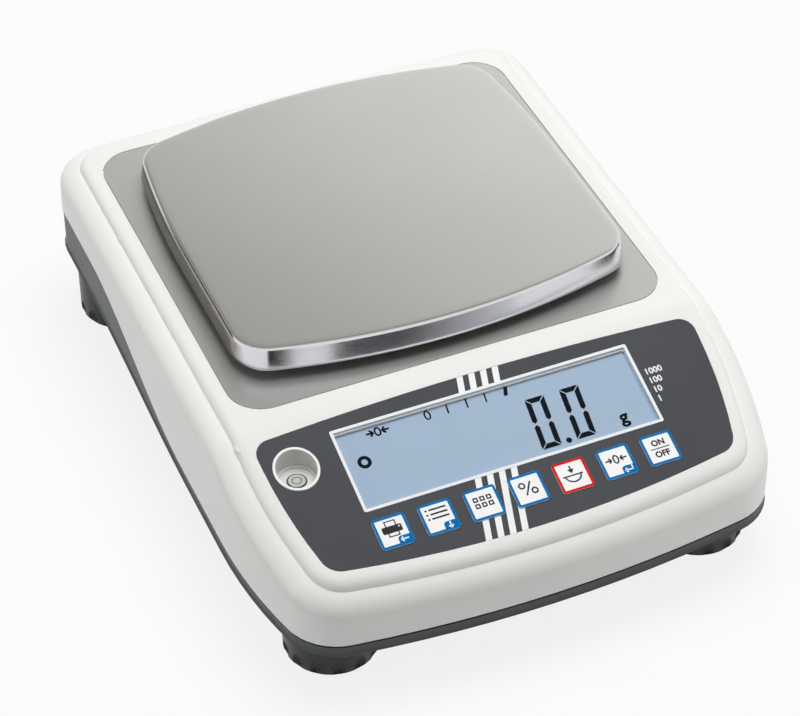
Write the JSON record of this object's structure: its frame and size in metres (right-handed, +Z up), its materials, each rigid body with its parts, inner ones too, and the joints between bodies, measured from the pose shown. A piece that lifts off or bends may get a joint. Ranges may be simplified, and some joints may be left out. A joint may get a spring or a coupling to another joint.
{
  "type": "precision balance",
  "caption": "Bench precision balance: white moulded housing on screw feet, stainless weighing pan over a load cell, sloping dark panel with display, square keys and spirit level.",
  "frame": {"origin": "on the table under the middle of the body's outline", "axes": "+X to the right of someone who faces the panel, +Y to the back, +Z up"},
  "size_m": [0.2126, 0.2778, 0.0875],
  "materials": {
    "housing_white": "fine moulded grain, satin",
    "base_grey": "moulded, satin",
    "tray_steel": "finely brushed",
    "pan_steel": "brushed top, polished skirt",
    "panel_foil": "printed foil",
    "window_clear": "clear acrylic",
    "lcd_glass": "blue-grey display",
    "key_white": "satin white",
    "level_white": "moulded",
    "vial_clear": "clear",
    "knob_black": "moulded, satin",
    "rubber_black": "matt",
    "cell_aluminium": "machined",
    "carrier_aluminium": "die cast",
    "screw_steel": "plated",
    "insert_brass": "turned",
    "board_green": "solder mask",
    "holder_white": "moulded",
    "plug_black": "moulded",
    "port_metal": "tin plated"
  },
  "bodies": {
    "housing": {"top_housing": "housing_white", "base": "base_grey", "tray_plate": "tray_steel", "load_cell": "cell_aluminium", "load_cell_mount": "cell_aluminium", "load_cell_screws": "screw_steel", "overload_stops": "insert_brass", "front_panel": "panel_foil", "display_window": "window_clear", "display_glass": "lcd_glass", "display_holder": "holder_white", "display_board": "board_green", "keypad_board": "board_green", "key_switches": "plug_black", "level_cup": "level_white", "level_vial": "vial_clear", "main_board": "board_green", "board_screws": "screw_steel", "power_jack": "plug_black", "data_port": "port_metal", "housing_screws": "screw_steel", "foot_inserts": "insert_brass"},
    "carrier": {"carrier_bracket": "carrier_aluminium", "carrier_screws": "screw_steel", "pan_carrier": "carrier_aluminium", "pan_bumpers": "rubber_black"},
    "pan": {"weighing_pan": "pan_steel"},
    "print_key": {"key_print": "key_white"},
    "mode_key": {"key_mode": "key_white"},
    "count_key": {"key_count": "key_white"},
    "percent_key": {"key_percent": "key_white"},
    "tare_key": {"key_tare": "key_white"},
    "zero_key": {"key_zero": "key_white"},
    "power_key": {"key_power": "key_white"},
    "foot_front_left": {"pad_front_left": "rubber_black"},
    "screw_front_left": {"knob_front_left": "knob_black"},
    "foot_front_right": {"pad_front_right": "rubber_black"},
    "screw_front_right": {"knob_front_right": "knob_black"},
    "foot_back_left": {"pad_back_left": "rubber_black"},
    "screw_back_left": {"knob_back_left": "knob_black"},
    "foot_back_right": {"pad_back_right": "rubber_black"},
    "screw_back_right": {"knob_back_right": "knob_black"}
  },
  "joints": [
    {"name": "load_travel", "type": "slide", "parent": "housing", "child": "carrier", "axis": [0, 0, -1], "range_m": [0, 0.0004], "stiffness_N_per_m": 150000, "springref_m": -0.0001, "deforming": ["load_cell"]},
    {"name": "pan_lift", "type": "slide", "parent": "carrier", "child": "pan", "axis": [0, 0, 1], "range_m": [0, 0.03]},
    {"name": "print_press", "type": "slide", "parent": "housing", "child": "print_key", "axis": [0, 0.2924, -0.9563], "range_m": [0, 0.0005], "stiffness_N_per_m": 2000, "springref_m": -0.0003},
    {"name": "mode_press", "type": "slide", "parent": "housing", "child": "mode_key", "axis": [0, 0.2924, -0.9563], "range_m": [0, 0.0005], "stiffness_N_per_m": 2000, "springref_m": -0.0003},
    {"name": "count_press", "type": "slide", "parent": "housing", "child": "count_key", "axis": [0, 0.2924, -0.9563], "range_m": [0, 0.0005], "stiffness_N_per_m": 2000, "springref_m": -0.0003},
    {"name": "percent_press", "type": "slide", "parent": "housing", "child": "percent_key", "axis": [0, 0.2924, -0.9563], "range_m": [0, 0.0005], "stiffness_N_per_m": 2000, "springref_m": -0.0003},
    {"name": "tare_press", "type": "slide", "parent": "housing", "child": "tare_key", "axis": [0, 0.2924, -0.9563], "range_m": [0, 0.0005], "stiffness_N_per_m": 2000, "springref_m": -0.0003},
    {"name": "zero_press", "type": "slide", "parent": "housing", "child": "zero_key", "axis": [0, 0.2924, -0.9563], "range_m": [0, 0.0005], "stiffness_N_per_m": 2000, "springref_m": -0.0003},
    {"name": "power_press", "type": "slide", "parent": "housing", "child": "power_key", "axis": [0, 0.2924, -0.9563], "range_m": [0, 0.0005], "stiffness_N_per_m": 2000, "springref_m": -0.0003},
    {"name": "foot_front_left_height", "type": "slide", "parent": "housing", "child": "foot_front_left", "axis": [0, 0, -1], "range_m": [0, 0.005]},
    {"name": "foot_front_left_turn", "type": "hinge", "parent": "foot_front_left", "child": "screw_front_left", "pos_m": [-0.0775, -0.10393, 0.02], "axis": [0, 0, -1], "range_deg": [0, 1440]},
    {"name": "foot_front_right_height", "type": "slide", "parent": "housing", "child": "foot_front_right", "axis": [0, 0, -1], "range_m": [0, 0.005]},
    {"name": "foot_front_right_turn", "type": "hinge", "parent": "foot_front_right", "child": "screw_front_right", "pos_m": [0.0775, -0.10393, 0.02], "axis": [0, 0, -1], "range_deg": [0, 1440]},
    {"name": "foot_back_left_height", "type": "slide", "parent": "housing", "child": "foot_back_left", "axis": [0, 0, -1], "range_m": [0, 0.005]},
    {"name": "foot_back_left_turn", "type": "hinge", "parent": "foot_back_left", "child": "screw_back_left", "pos_m": [-0.085, 0.11093, 0.02], "axis": [0, 0, -1], "range_deg": [0, 1440]},
    {"name": "foot_back_right_height", "type": "slide", "parent": "housing", "child": "foot_back_right", "axis": [0, 0, -1], "range_m": [0, 0.005]},
    {"name": "foot_back_right_turn", "type": "hinge", "parent": "foot_back_right", "child": "screw_back_right", "pos_m": [0.085, 0.11093, 0.02], "axis": [0, 0, -1], "range_deg": [0, 1440]}
  ],
  "couplings": [
    {"joint": "foot_front_left_turn", "follows": "foot_front_left_height", "rad_per_m": 5026},
    {"joint": "foot_front_right_turn", "follows": "foot_front_right_height", "rad_per_m": 5026},
    {"joint": "foot_back_left_turn", "follows": "foot_back_left_height", "rad_per_m": 5026},
    {"joint": "foot_back_right_turn", "follows": "foot_back_right_height", "rad_per_m": 5026}
  ]
}
